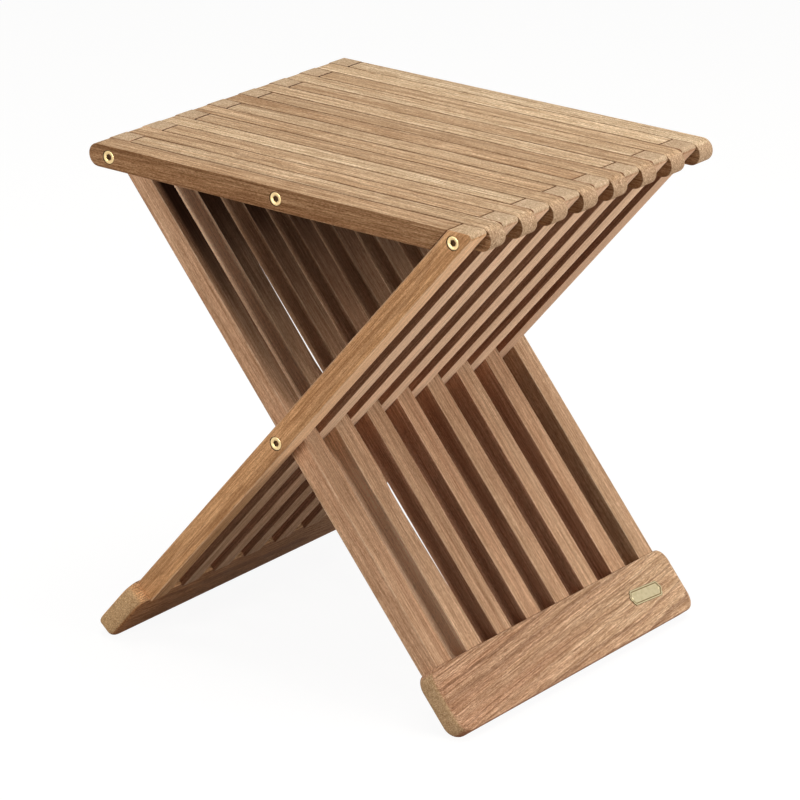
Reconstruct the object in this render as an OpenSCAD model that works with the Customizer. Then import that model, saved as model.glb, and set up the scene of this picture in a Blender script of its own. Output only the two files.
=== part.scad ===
// Folding stool made of teak slats on four cross rods.
// Slats of the two leg frames and of the two seat halves take turns across the width, so that
// the stool folds flat: the middle of the seat rises and the legs close like scissors.
// The left frame stands on the left foot and carries the right end of the seat. The right
// frame is the same frame turned half round, and so is the right half of the seat.
// X runs along the seat, Y across the width from front to back, Z up from the floor.

/* [Overall] */
// Height of the seat's top above the floor
seat_height = 450; // [400:1:520]
// Distance between the two end rods of the seat
rod_spread = 365; // [320:1:400]
// Drop from the seat rods to the rod where the legs cross
cross_drop = 215.5; // [190:0.5:240]
// Slats in each leg frame, and in each half of the seat
pairs = 8; // [4:1:9]

/* [Seat slats] */
// Depth of a seat slat, from its top to its underside
seat_depth = 20.5; // [17:0.5:26]
// Width of a seat slat, measured across the stool
seat_slat_width = 20.2; // [15:0.2:24]
// Gap between one seat slat and the next
seat_gap = 1.2; // [1:0.1:4]
// Reach of a rounded seat end beyond its rod
nose_reach = 22; // [15:0.5:30]
// Radius on the long edges of a seat slat
seat_edge_radius = 0.6; // [0.3:0.1:3]
// Gap between a slanted seat end and the leg slat that stops it
stop_gap = 0.9; // [0.3:0.1:2]

/* [Leg slats] */
// Depth of a leg slat, seen from the front
leg_depth = 20.6; // [17:0.2:24]
// Gap between leg slats where they pass each other
leg_gap = 0.4; // [0.3:0.1:2]
// Radius on the long edges of a leg slat
leg_edge_radius = 0.5; // [0.3:0.1:3]
// Radius on the sharp top corner of a leg slat
leg_tip_radius = 3.5; // [1:0.5:5]

/* [Feet] */
// Height of a foot board, measured along the leg
foot_height = 61; // [45:1:75]
// Thickness of a foot board
foot_thickness = 20.2; // [18:0.2:28]
// Shift of a foot board away from the middle of its leg slats
foot_shift = 1.7; // [0:0.1:3]
// Reach of a foot board beyond its outer leg slats
foot_overhang = 14.1; // [5:0.1:30]
// Radius on the four corners of a foot board
foot_corner_radius = 14; // [3:0.5:18]
// Radius on the end edges of a foot board
foot_end_radius = 6; // [1:0.5:8]
// Radius on the top edges of a foot board
foot_top_radius = 1; // [0.5:0.1:3]
// Radius on the outer bottom edge of a foot board
foot_bottom_radius = 1.5; // [0.5:0.1:4]
// Radius on the inner bottom edge, on which the foot stands
foot_standing_radius = 6.5; // [2:0.5:8]
// Depth of the worn flat that the foot stands on
foot_flat = 0.3; // [0.2:0.1:1.5]

/* [Mortise and tenon] */
// Length of the tenon on the lower end of a leg slat
tenon_length = 30; // [15:1:38]
// Depth of a tenon, along the depth of the slat
tenon_depth = 11; // [8:0.5:14]
// Width of a tenon, across the stool
tenon_width = 14; // [9:0.5:14.5]
// Gap between a tenon and its mortise, on each side
tenon_gap = 0.2; // [0.1:0.05:0.5]

/* [Rods and nuts] */
// Diameter of a cross rod
rod_diameter = 8; // [6:0.5:10]
// Gap between a rod and its bore, on each side
rod_gap = 0.08; // [0.02:0.01:0.3]
// Diameter of a nut's head
nut_head_diameter = 12; // [11:0.5:15]
// Thickness of a nut's head
nut_head_depth = 2; // [1.5:0.1:3]
// Radius on the rim of a nut's head
nut_rim_radius = 0.8; // [0.3:0.1:1.2]
// Length of a nut's sleeve behind its head
nut_sleeve_length = 12; // [8:0.5:14]
// Diameter of the turned-down rod end that screws into a nut
thread_diameter = 5.6; // [4:0.1:5.8]
// Width across the flats of a nut's hexagon socket
socket_width = 5; // [4:0.5:6]
// Depth of a nut's hexagon socket
socket_depth = 3.5; // [2:0.5:5]
// Depth that a nut's head lies below the face of the wood
nut_sink = 0.2; // [0:0.1:1]

/* [Hidden] */
$fn = 48;
smooth = 96;
rim_smooth = 24;
hexagon = 6;
cut_reach = 5;
socket_wall = 1;
slat_numbers = [for (k = [1 : pairs]) k];

// Colours of the wood, one after the other along a row of slats, and of the metal
seat_tones = ["#c9a77c", "#bf9c72", "#cdab80", "#c4a076"];
leg_tones = ["#b98a5e", "#ad7f56", "#c0926a", "#b3855c"];
foot_tone = "#b58b63";
brass_tone = "#d9b872";
rod_tone = "#b8a070";

// Layers across the stool: leg frames and seat halves share one pitch
pitch = seat_slat_width + seat_gap;
layers = 2 * pairs;
stack_width = layers * pitch;
leg_slat_width = pitch - leg_gap;

// Places of the rods, seen from the front
half_spread = rod_spread / 2;
seat_rod_z = seat_height - seat_depth / 2;
cross_z = seat_rod_z - cross_drop;
left_end = [-half_spread, seat_rod_z];
right_end = [half_spread, seat_rod_z];
middle = [0, seat_rod_z];
crossing = [0, cross_z];

// Slope of the legs against the floor
leg_angle = atan2(cross_drop, half_spread);
rise = sin(leg_angle);
run = cos(leg_angle);

// The seat's top seen in a leg's own frame: x square to the leg, y up along it
leg_half = leg_depth / 2;
top_along = (cross_drop + seat_depth / 2) / rise;
tip_x = leg_half - leg_tip_radius;
tip_y = top_along + (tip_x * run - leg_tip_radius) / rise;

// Foot board in the same frame; it stands on its rounded inner bottom edge
foot_inner = foot_thickness / 2 - foot_shift;
foot_outer = -foot_thickness / 2 - foot_shift;
edge_centre_x = foot_inner - foot_standing_radius;
edge_drop = cross_z - foot_standing_radius + foot_flat - edge_centre_x * run;
foot_bottom = -edge_drop / rise - foot_standing_radius;
foot_top = foot_bottom + foot_height;
foot_half_width = ((layers - 2) * pitch + leg_slat_width) / 2 + foot_overhang;

// Nuts and bores
bore_diameter = rod_diameter + 2 * rod_gap;
nut_recess = nut_head_depth + nut_sink;
recess_diameter = nut_head_diameter + 2 * rod_gap;
length_inset = seat_gap / 4;

// Middle of a layer across the stool; layer 1 is the front one
function layer_y(layer) = (layer - 0.5) * pitch - stack_width / 2;

// The mirror pieces are the same pieces turned half round about the upright axis
module half_turn() {
    rotate([0, 0, 180]) children();
}

// Puts a leg's own frame at the crossing rod, its y axis pointing up the left frame's leg
module along_leg() {
    translate([0, 0, cross_z]) rotate([0, 90 - leg_angle, 0]) children();
}

// Extrudes a flat outline, seen from the front, to a slab centred across the stool
module slab(width) {
    rotate([90, 0, 0]) linear_extrude(width, center = true) children();
}

// Rectangle whose four corners have radii of their own
module rounded_area(low, high, radii) {
    r_ll = radii[0];
    r_lr = radii[1];
    r_ur = radii[2];
    r_ul = radii[3];
    polygon([
        [low.x + r_ll, low.y], [high.x - r_lr, low.y],
        [high.x, low.y + r_lr], [high.x, high.y - r_ur],
        [high.x - r_ur, high.y], [low.x + r_ul, high.y],
        [low.x, high.y - r_ul], [low.x, low.y + r_ll]
    ]);
    translate([low.x + r_ll, low.y + r_ll]) circle(r_ll);
    translate([high.x - r_lr, low.y + r_lr]) circle(r_lr);
    translate([high.x - r_ur, high.y - r_ur]) circle(r_ur);
    translate([low.x + r_ul, high.y - r_ul]) circle(r_ul);
}

// Round bore across one slat at a rod's place
module bore(place, width) {
    translate([place.x, 0, place.y])
        rotate([90, 0, 0])
            cylinder(d = bore_diameter, h = width + 2 * cut_reach, center = true, $fn = smooth);
}

// Shallow recess for a nut's head; side -1 is the front face and 1 the back face
module nut_pocket(place, width, side) {
    translate([place.x, side * (width / 2 - nut_recess), place.y])
        rotate([-90 * side, 0, 0])
            cylinder(d = recess_diameter, h = nut_recess + cut_reach, $fn = smooth);
}

// Outline of a leg slat's body in the leg's own frame, cut level with the seat at the top
module leg_outline() {
    corner_y = top_along - leg_half * run / rise;
    tangent = [tip_x - leg_tip_radius * run, tip_y + leg_tip_radius * rise];
    polygon([
        [-leg_half, foot_top], [leg_half, foot_top],
        [leg_half, tip_y], [tip_x, tip_y], tangent, [-leg_half, corner_y]
    ]);
    translate([tip_x, tip_y]) circle(leg_tip_radius, $fn = smooth);
}

// Leg slat of the left frame, centred across its own width
module leg_slat_body(pocket_side) {
    width = leg_slat_width;
    r = leg_edge_radius;
    length = top_along + leg_depth - foot_top;
    difference() {
        along_leg() {
            intersection() {
                slab(width) leg_outline();
                translate([0, 0, foot_top])
                    linear_extrude(length)
                        rounded_area([-leg_half, -width / 2], [leg_half, width / 2], [r, r, r, r]);
            }
            translate([-tenon_depth / 2, -tenon_width / 2, foot_top - tenon_length])
                cube([tenon_depth, tenon_width, tenon_length + leg_edge_radius]);
        }
        bore(right_end, width);
        bore(crossing, width);
        if (pocket_side != 0) {
            nut_pocket(right_end, width, pocket_side);
            nut_pocket(crossing, width, pocket_side);
        }
    }
}

// Outline of a seat slat of the left half: rounded nose at the left, slanted stop at the right
module seat_outline() {
    half = seat_depth / 2;
    nose_x = -half_spread - nose_reach + half;
    stop_x = half_spread - (leg_half + stop_gap) / rise;
    lean = half * run / rise;
    translate([0, seat_rod_z]) {
        translate([nose_x, 0]) circle(half, $fn = smooth);
        polygon([
            [nose_x, -half], [stop_x - lean, -half],
            [stop_x + lean, half], [nose_x, half]
        ]);
    }
}

// Seat slat of the left half, centred across its own width
module seat_slat_body(pocket_side) {
    width = seat_slat_width;
    half = seat_depth / 2;
    r = seat_edge_radius;
    length = 2 * (half_spread + nose_reach);
    difference() {
        intersection() {
            slab(width) seat_outline();
            translate([-length / 2, 0, seat_rod_z])
                rotate([90, 0, 90])
                    linear_extrude(length)
                        rounded_area([-width / 2, -half], [width / 2, half], [r, r, r, r]);
        }
        bore(left_end, width);
        bore(middle, width);
        if (pocket_side != 0) {
            nut_pocket(left_end, width, pocket_side);
            nut_pocket(middle, width, pocket_side);
        }
    }
}

// Left foot board: rounded in all three views, cut flat on the floor, with a row of mortises
module foot_body() {
    half = foot_half_width;
    low = [foot_outer, foot_bottom];
    high = [foot_inner, foot_top];
    rb = foot_bottom_radius;
    rs = foot_standing_radius;
    rt = foot_top_radius;
    rc = foot_corner_radius;
    re = foot_end_radius;
    foot_centre = (layer_y(1) + layer_y(layers - 1)) / 2;
    difference() {
        translate([0, foot_centre, 0]) along_leg() intersection() {
            slab(2 * half) rounded_area(low, high, [rb, rs, rt, rt]);
            translate([foot_outer, 0, 0])
                rotate([90, 0, 90])
                    linear_extrude(foot_thickness)
                        rounded_area([-half, foot_bottom], [half, foot_top], [rc, rc, rc, rc]);
            translate([0, 0, foot_bottom])
                linear_extrude(foot_height)
                    rounded_area([foot_outer, -half], [foot_inner, half], [re, re, re, re]);
        }
        translate([-rod_spread, -stack_width, -foot_height])
            cube([rod_spread, 2 * stack_width, foot_height]);
        for (k = slat_numbers) translate([0, layer_y(2 * k - 1), 0]) mortise();
    }
}

// One mortise in the left foot board
module mortise() {
    depth = tenon_depth + 2 * tenon_gap;
    width = tenon_width + 2 * tenon_gap;
    length = tenon_length + tenon_gap;
    along_leg()
        translate([-depth / 2, -width / 2, foot_top - length])
            cube([depth, width, length + cut_reach]);
}

// Slats of the left frame lie in the odd layers, counted from the front
module left_leg_slat(k) {
    color(leg_tones[k % len(leg_tones)])
        translate([0, layer_y(2 * k - 1), 0])
            leg_slat_body(k == 1 ? -1 : 0);
}

// Slats of the right frame lie in the even layers
module right_leg_slat(k) {
    color(leg_tones[(k + 1) % len(leg_tones)])
        translate([0, layer_y(2 * k), 0])
            half_turn() leg_slat_body(k == pairs ? -1 : 0);
}

// Seat slats of the left half share the odd layers with the left frame
module left_seat_slat(k) {
    color(seat_tones[k % len(seat_tones)])
        translate([0, layer_y(2 * k - 1), 0])
            seat_slat_body(k == 1 ? -1 : 0);
}

// Seat slats of the right half share the even layers with the right frame
module right_seat_slat(k) {
    color(seat_tones[(k + 2) % len(seat_tones)])
        translate([0, layer_y(2 * k), 0])
            half_turn() seat_slat_body(k == pairs ? -1 : 0);
}

module left_foot() {
    color(foot_tone) foot_body();
}

module right_foot() {
    color(foot_tone) half_turn() foot_body();
}

// Round bar across the stool from one y to another
module bar(place, diameter, from_y, to_y) {
    translate([place.x, from_y, place.y])
        rotate([-90, 0, 0])
            cylinder(d = diameter, h = to_y - from_y, $fn = smooth);
}

// Outer face of the wood at the front, and the inner end of a nut's sleeve behind it
leg_face = layer_y(1) - leg_slat_width / 2;
seat_face = layer_y(1) - seat_slat_width / 2;
function sleeve_end(face) = face + nut_recess + nut_sleeve_length;
function thread_start(face) = face + nut_sink + socket_depth + socket_wall;

// One full cross rod; its ends are turned down and screw into the nuts
module rod(place, front_face, back_face) {
    color(rod_tone) {
        bar(place, rod_diameter, sleeve_end(front_face) + rod_gap, -sleeve_end(back_face) - rod_gap);
        bar(place, thread_diameter, thread_start(front_face), -thread_start(back_face));
    }
}

// Front nut of a rod: rimmed head with a hexagon socket, and a sleeve that takes the rod's end
module nut(place, face) {
    head = nut_head_diameter / 2;
    rim = nut_rim_radius;
    thread_bore = thread_diameter / 2 + rod_gap;
    hole_start = socket_depth + socket_wall - rod_gap;
    socket_diameter = socket_width / cos(180 / hexagon);
    total = nut_head_depth + nut_sleeve_length;
    color(brass_tone)
        translate([place.x, face + nut_sink, place.y])
            rotate([-90, 0, 0])
                difference() {
                    union() {
                        cylinder(r = head - rim, h = nut_head_depth, $fn = smooth);
                        translate([0, 0, rim])
                            cylinder(r = head, h = nut_head_depth - rim, $fn = smooth);
                        translate([0, 0, rim])
                            rotate_extrude($fn = smooth)
                                translate([head - rim, 0]) circle(rim, $fn = rim_smooth);
                        cylinder(d = rod_diameter, h = total, $fn = smooth);
                    }
                    translate([0, 0, -cut_reach])
                        cylinder(d = socket_diameter, h = socket_depth + cut_reach, $fn = hexagon);
                    translate([0, 0, hole_start])
                        cylinder(r = thread_bore, h = total, $fn = smooth);
                }
}

// The middle rod, cut where the two seat halves part: one short length in each seat slat
module middle_lengths(odd) {
    reach = seat_slat_width / 2 + length_inset;
    color(rod_tone)
        for (k = slat_numbers) {
            y = layer_y(odd ? 2 * k - 1 : 2 * k);
            at_front = odd && k == 1;
            at_back = !odd && k == pairs;
            start = at_front ? sleeve_end(seat_face) + rod_gap : y - reach;
            finish = at_back ? -sleeve_end(seat_face) - rod_gap : y + reach;
            bar(middle, rod_diameter, start, finish);
            if (at_front) bar(middle, thread_diameter, thread_start(seat_face), finish);
            if (at_back) bar(middle, thread_diameter, start, -thread_start(seat_face));
        }
}

for (k = slat_numbers) {
    left_leg_slat(k);
    right_leg_slat(k);
    left_seat_slat(k);
    right_seat_slat(k);
}
left_foot();
right_foot();
rod(left_end, seat_face, leg_face);  // left_seat_rod
rod(right_end, leg_face, seat_face);  // right_seat_rod
rod(crossing, leg_face, leg_face);  // cross_rod
middle_lengths(true);  // middle_rod_left_lengths
middle_lengths(false);  // middle_rod_right_lengths
nut(left_end, seat_face);  // left_seat_nut_front
half_turn() nut(right_end, leg_face);  // left_seat_nut_back
nut(right_end, leg_face);  // right_seat_nut_front
half_turn() nut(left_end, seat_face);  // right_seat_nut_back
nut(crossing, leg_face);  // cross_nut_front
half_turn() nut(crossing, leg_face);  // cross_nut_back
nut(middle, seat_face);  // middle_nut_front
half_turn() nut(middle, seat_face);  // middle_nut_back
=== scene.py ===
import math

import bmesh
import bpy
from mathutils import Matrix, Vector


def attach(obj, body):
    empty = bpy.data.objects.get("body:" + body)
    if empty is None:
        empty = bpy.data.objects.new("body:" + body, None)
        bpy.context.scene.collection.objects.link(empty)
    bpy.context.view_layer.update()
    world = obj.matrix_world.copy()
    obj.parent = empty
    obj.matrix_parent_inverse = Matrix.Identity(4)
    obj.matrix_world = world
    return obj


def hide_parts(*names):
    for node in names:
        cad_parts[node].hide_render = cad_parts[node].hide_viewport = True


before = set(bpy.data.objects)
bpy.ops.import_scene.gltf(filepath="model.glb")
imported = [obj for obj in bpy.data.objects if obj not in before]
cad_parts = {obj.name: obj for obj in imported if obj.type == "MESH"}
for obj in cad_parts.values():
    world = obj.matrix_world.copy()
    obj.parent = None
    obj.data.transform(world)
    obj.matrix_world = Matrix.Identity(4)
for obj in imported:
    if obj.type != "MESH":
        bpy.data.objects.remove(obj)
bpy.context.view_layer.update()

# All sizes are in metres, in the stool's own frame: X along the seat, Y to the back, Z up.
stool = {
    "seatRodX": 0.1825,
    "seatRodZ": 0.43975,
    "crossZ": 0.22425,
    "pairs": 8,
    "pitch": 0.0214,
    "seatDepth": 0.0205,
    "legDepth": 0.0206,
}
halfStack = stool["pairs"] * stool["pitch"]
crossDrop = stool["seatRodZ"] - stool["crossZ"]
legAngle = math.atan2(crossDrop, stool["seatRodX"])
rise, run = math.sin(legAngle), math.cos(legAngle)


# Helpers for node trees and meshes.

plainWhite = (1.0, 1.0, 1.0, 1)


def addNode(tree, kind, sockets=None, **settings):
    node = tree.nodes.new(kind)
    for name, value in settings.items():
        setattr(node, name, value)
    for key, value in (sockets or {}).items():
        socket = node.inputs[key]
        if isinstance(value, bpy.types.NodeSocket):
            tree.links.new(value, socket)
        else:
            socket.default_value = value
    return node


def addMath(tree, operation, first, second=0.0, clamp=False):
    node = addNode(tree, "ShaderNodeMath", {0: first, 1: second}, operation=operation)
    node.use_clamp = clamp
    return node.outputs[0]


def addProduct(tree, first, *others):
    for other in others:
        first = addMath(tree, "MULTIPLY", first, other)
    return first


def addNoise(tree, place, scale, detail):
    sockets = {"Vector": place, "Scale": scale, "Detail": detail}
    return addNode(tree, "ShaderNodeTexNoise", sockets).outputs[0]


def addTint(tree, colour, share, tint):
    # multiplies a colour by a tint where the share is 1
    return addMix(tree, 1.0, colour, addMix(tree, share, plainWhite, tint), "MULTIPLY")


def addVectorMath(tree, operation, first, second=(0.0, 0.0, 0.0)):
    node = addNode(tree, "ShaderNodeVectorMath", {0: first, 1: second}, operation=operation)
    return node.outputs["Value" if operation in ("LENGTH", "DOT_PRODUCT") else "Vector"]


def addRange(tree, value, low, high, newLow=0.0, newHigh=1.0):
    sockets = {"Value": value, "From Min": low, "From Max": high}
    sockets.update({"To Min": newLow, "To Max": newHigh})
    node = addNode(tree, "ShaderNodeMapRange", sockets, interpolation_type="SMOOTHSTEP")
    return node.outputs["Result"]


def addMix(tree, share, first, second, blend="MIX"):
    node = addNode(tree, "ShaderNodeMix", data_type="RGBA", blend_type=blend)
    for socket, value in ((node.inputs[0], share), (node.inputs[6], first), (node.inputs[7], second)):
        if isinstance(value, bpy.types.NodeSocket):
            tree.links.new(value, socket)
        else:
            socket.default_value = value
    return node.outputs[2]


def newGroup(name, kind, inputs, outputs):
    tree = bpy.data.node_groups.new(name, kind)
    for label, socketType, value in inputs:
        socket = tree.interface.new_socket(label, in_out="INPUT", socket_type=socketType)
        if value is not None:
            socket.default_value = value
    for label, socketType in outputs:
        tree.interface.new_socket(label, in_out="OUTPUT", socket_type=socketType)
    return tree, tree.nodes.new("NodeGroupInput").outputs, tree.nodes.new("NodeGroupOutput").inputs


def placeGroup(tree, group, values):
    node = tree.nodes.new(tree.bl_idname.replace("NodeTree", "NodeGroup"))
    node.node_tree = group
    for name, value in values.items():
        if isinstance(value, bpy.types.NodeSocket):
            tree.links.new(value, node.inputs[name])
        else:
            node.inputs[name].default_value = value
    return node.outputs


def setInputs(modifier, values):
    for item in modifier.node_group.interface.items_tree:
        if item.item_type == "SOCKET" and item.in_out == "INPUT" and item.name in values:
            modifier[item.identifier] = values[item.name]


def newObject(name, mesh):
    made = bpy.data.objects.new(name, mesh)
    bpy.context.scene.collection.objects.link(made)
    return made


def settle(obj, name):
    # turns an object and its modifiers into one plain mesh under its own name
    bpy.context.view_layer.update()
    evaluated = obj.evaluated_get(bpy.context.evaluated_depsgraph_get())
    mesh = bpy.data.meshes.new_from_object(evaluated)
    mesh.name = name
    bpy.data.objects.remove(obj)
    return newObject(name, mesh)


def meshOf(name, build):
    mesh = bpy.data.meshes.new(name)
    bm = bmesh.new()
    build(bm)
    bm.to_mesh(mesh)
    bm.free()
    return mesh


# Camera, floor and light.

studio = {
    "cameraPlace": (1.99869, -2.61034, 1.45061),
    "cameraTurn": 37.435,
    "cameraTilt": 20.621,
    "cameraRoll": 0.531,
    "lens": 181.18,
    "floorSize": 14.0,
    "floorTone": (0.35, 0.341, 0.332, 1.0),
    "floorGlow": 0.93,
    "floorShadow": 0.35,
    "skyTone": (1.0, 0.985, 0.96, 1.0),
    "skyStrength": 0.04,
}


def makeCamera():
    turn, tilt, roll = (math.radians(studio[k]) for k in ("cameraTurn", "cameraTilt", "cameraRoll"))
    back = Vector((math.sin(turn) * math.cos(tilt), -math.cos(turn) * math.cos(tilt), math.sin(tilt)))
    right = Vector((math.cos(turn), math.sin(turn), 0))
    up = back.cross(right)
    axisX = right * math.cos(roll) + up * math.sin(roll)
    axisY = up * math.cos(roll) - right * math.sin(roll)
    camera = bpy.data.objects.new("camera", bpy.data.cameras.new("camera"))
    bpy.context.scene.collection.objects.link(camera)
    camera.matrix_world = Matrix.Translation(studio["cameraPlace"]) @ Matrix(
        (axisX, axisY, back)).transposed().to_4x4()
    camera.data.lens = studio["lens"]
    camera.data.sensor_width = 36.0
    camera.data.clip_end = 60.0
    bpy.context.scene.camera = camera


def seenDirectly(tree):
    path = tree.nodes.new("ShaderNodeLightPath").outputs
    seen = addMath(tree, "MAXIMUM", path["Is Camera Ray"], path["Is Glossy Ray"])
    return addMath(tree, "MAXIMUM", seen, path["Is Transmission Ray"])


def makeFloor():
    half = studio["floorSize"] / 2
    corners = [(-half, -half, 0), (half, -half, 0), (half, half, 0), (-half, half, 0)]
    floor = newObject("floor", meshOf("floor", lambda bm: bm.faces.new([bm.verts.new(c) for c in corners])))
    material = bpy.data.materials.new("paleFloor")
    material.use_nodes = True
    tree = material.node_tree
    tree.nodes.clear()
    matt = addNode(tree, "ShaderNodeBsdfDiffuse", {"Color": studio["floorTone"]})
    # what the camera sees is nearly white by itself; the lit share on top of it fades in the stool's shadow
    glow = addNode(tree, "ShaderNodeEmission", {"Color": (1, 1, 1, 1), "Strength": studio["floorGlow"]})
    faint = [studio["floorShadow"] * c for c in studio["floorTone"][:3]] + [1.0]
    lit = addNode(tree, "ShaderNodeBsdfDiffuse", {"Color": faint})
    pale = addNode(tree, "ShaderNodeAddShader", {0: glow.outputs[0], 1: lit.outputs[0]})
    whole = addNode(tree, "ShaderNodeMixShader",
                    {0: seenDirectly(tree), 1: matt.outputs[0], 2: pale.outputs[0]})
    addNode(tree, "ShaderNodeOutputMaterial", {"Surface": whole.outputs[0]})
    floor.data.materials.append(material)


def makeSky():
    world = bpy.data.worlds.new("studio")
    bpy.context.scene.world = world
    world.use_nodes = True
    tree = world.node_tree
    tree.nodes.clear()
    seen = seenDirectly(tree)
    tone = addMix(tree, seen, studio["skyTone"], (1, 1, 1, 1))
    strength = addMath(tree, "ADD", addMath(tree, "MULTIPLY", seen, 1.0 - studio["skyStrength"]),
                       studio["skyStrength"])
    sky = addNode(tree, "ShaderNodeBackground", {"Color": tone, "Strength": strength})
    addNode(tree, "ShaderNodeOutputWorld", {"Surface": sky.outputs[0]})


softboxes = [
    {"name": "overhead", "place": (0.25, 0.2, 2.4), "size": 2.0, "power": 48.0, "tone": (1.0, 0.975, 0.93)},
    {"name": "rightSide", "place": (2.5, 0.35, 0.3), "size": 1.5, "power": 60.0, "tone": (1.0, 0.975, 0.93)},
    {"name": "frontSide", "place": (-0.5, -2.7, 0.6), "size": 1.0, "power": 43.0, "tone": (1.0, 0.975, 0.93)},
]


def makeLamps():
    for box in softboxes:
        lamp = bpy.data.lights.new(box["name"], "AREA")
        lamp.shape = "SQUARE"
        lamp.size = box["size"]
        lamp.energy = box["power"]
        lamp.color = box["tone"]
        holder = bpy.data.objects.new(box["name"], lamp)
        bpy.context.scene.collection.objects.link(holder)
        holder.location = box["place"]
        aim = Vector((0, 0, 0.22)) - Vector(box["place"])
        holder.rotation_euler = aim.to_track_quat("-Z", "Y").to_euler()


makeCamera()
makeFloor()
makeSky()
makeLamps()
print("studio ready")


# Wood and brass.

def makeWoodGroup():
    # growth rings round a pith that lies outside the board, streaks and pores along the fibres, end grain
    colour, number, vector = "NodeSocketColor", "NodeSocketFloat", "NodeSocketVector"
    tree, given, wanted = newGroup("teakGrain", "ShaderNodeTree", [
        ("Place", vector, None), ("Seed", number, 0.0), ("Tone", number, 0.0), ("Hue", number, 0.0),
        ("End", number, 0.0), ("Pale", colour, (0.5, 0.34, 0.2, 1)), ("Deep", colour, (0.3, 0.17, 0.09, 1)),
        ("Ring Colour", colour, (0.16, 0.08, 0.04, 1)), ("End Colour", colour, (0.3, 0.22, 0.14, 1)),
        ("Red Tint", colour, (1.0, 0.9, 0.84, 1)), ("Gold Tint", colour, (1.06, 0.96, 0.76, 1)),
        ("Ring Gap", number, 0.0045), ("Ring Start", number, 0.35), ("Ring Strength", number, 0.4),
        ("Wave", number, 0.004), ("Cloud Strength", number, 0.5), ("Streak Strength", number, 0.3),
        ("Fibre Strength", number, 0.3), ("Pore Strength", number, 0.4),
    ], [("Color", colour), ("Roughness", number), ("Height", number)])
    place = given["Place"]
    dice = addNode(tree, "ShaderNodeTexWhiteNoise", {"W": given["Seed"]}, noise_dimensions="1D")
    dice = dice.outputs["Color"]
    drift = addVectorMath(tree, "MULTIPLY", dice, (7.0, 5.0, 9.0))
    moved = addVectorMath(tree, "ADD", place, drift)

    def noise(scale, detail, roughness=0.5):
        stretched = addVectorMath(tree, "MULTIPLY", moved, scale)
        sockets = {"Vector": stretched, "Scale": 1.0, "Detail": detail, "Roughness": roughness}
        return addNode(tree, "ShaderNodeTexNoise", sockets, noise_dimensions="3D").outputs

    def centred(value, amount):
        # a band round 1 that darkens and lightens by the amount given
        swing = addMath(tree, "MULTIPLY", addMath(tree, "SUBTRACT", 0.5, value), amount)
        return addMath(tree, "ADD", 1.0, swing)

    bend = noise((11.0, 24.0, 24.0), 2.0)["Color"]
    bend = addVectorMath(tree, "SUBTRACT", bend, (0.5, 0.5, 0.5))
    bend = addVectorMath(tree, "MULTIPLY", bend, (0.0, 2.0, 2.0))
    amount = addNode(tree, "ShaderNodeCombineXYZ", {0: 0.0, 1: given["Wave"], 2: given["Wave"]}).outputs[0]
    bend = addVectorMath(tree, "MULTIPLY", bend, amount)
    pith = addVectorMath(tree, "SUBTRACT", dice, (0.5, 0.5, 0.5))
    pith = addVectorMath(tree, "MULTIPLY", pith, (0.0, 0.16, 0.16))
    radial = addVectorMath(tree, "ADD", addVectorMath(tree, "SUBTRACT", place, pith), bend)
    radial = addVectorMath(tree, "MULTIPLY", radial, (0.05, 1.0, 1.0))
    radius = addVectorMath(tree, "LENGTH", radial)
    phase = addMath(tree, "DIVIDE", radius, given["Ring Gap"])
    years = addNode(tree, "ShaderNodeTexNoise", {"W": addMath(tree, "MULTIPLY", phase, 0.45), "Scale": 1.0,
                    "Detail": 1.0}, noise_dimensions="1D").outputs[0]
    phase = addMath(tree, "ADD", phase, addMath(tree, "MULTIPLY", years, 2.2))
    season = addMath(tree, "FRACT", phase)
    late = addProduct(tree, addRange(tree, season, given["Ring Start"], 0.9),
                      addRange(tree, season, 1.0, 0.93), addRange(tree, years, 0.25, 0.75, 0.45, 1.0))

    cloud = noise((4.0, 75.0, 75.0), 3.0, 0.55)[0]
    blush = addRange(tree, noise((3.0, 110.0, 110.0), 2.0)[0], 0.3, 0.7, -0.5, 0.5)
    streak = addRange(tree, noise((6.0, 360.0, 360.0), 3.0, 0.6)[0], 0.3, 0.7)
    fibre = addRange(tree, noise((28.0, 950.0, 950.0), 3.0, 0.65)[0], 0.3, 0.7)
    speck = addRange(tree, noise((420.0, 1500.0, 1500.0), 2.0, 0.7)[0], 0.32, 0.68)
    pore = addRange(tree, noise((130.0, 2400.0, 2400.0), 1.0)[0], 0.56, 0.68)

    mixed = addMath(tree, "MULTIPLY", addMath(tree, "SUBTRACT", cloud, 0.5), given["Cloud Strength"])
    mixed = addMath(tree, "ADD", addMath(tree, "MULTIPLY", mixed, 2.0), given["Tone"], clamp=True)
    colourNow = addMix(tree, mixed, given["Pale"], given["Deep"])
    tinted = addMix(tree, 1.0, colourNow, given["Red Tint"], "MULTIPLY")
    redness = addMath(tree, "ADD", given["Hue"], addMath(tree, "MULTIPLY", blush, 0.45), clamp=True)
    colourNow = addMix(tree, redness, colourNow, tinted)
    golden = addMath(tree, "MULTIPLY", given["Hue"], -1.0, clamp=True)
    colourNow = addMix(tree, golden, colourNow, addMix(tree, 1.0, colourNow, given["Gold Tint"], "MULTIPLY"))
    colourNow = addMix(tree, addMath(tree, "MULTIPLY", late, given["Ring Strength"], clamp=True),
                       colourNow, given["Ring Colour"])
    speckStrength = addMath(tree, "MULTIPLY", given["Fibre Strength"], 0.8)
    shade = addProduct(tree, centred(streak, given["Streak Strength"]),
                       centred(fibre, given["Fibre Strength"]), centred(speck, speckStrength))
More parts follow.
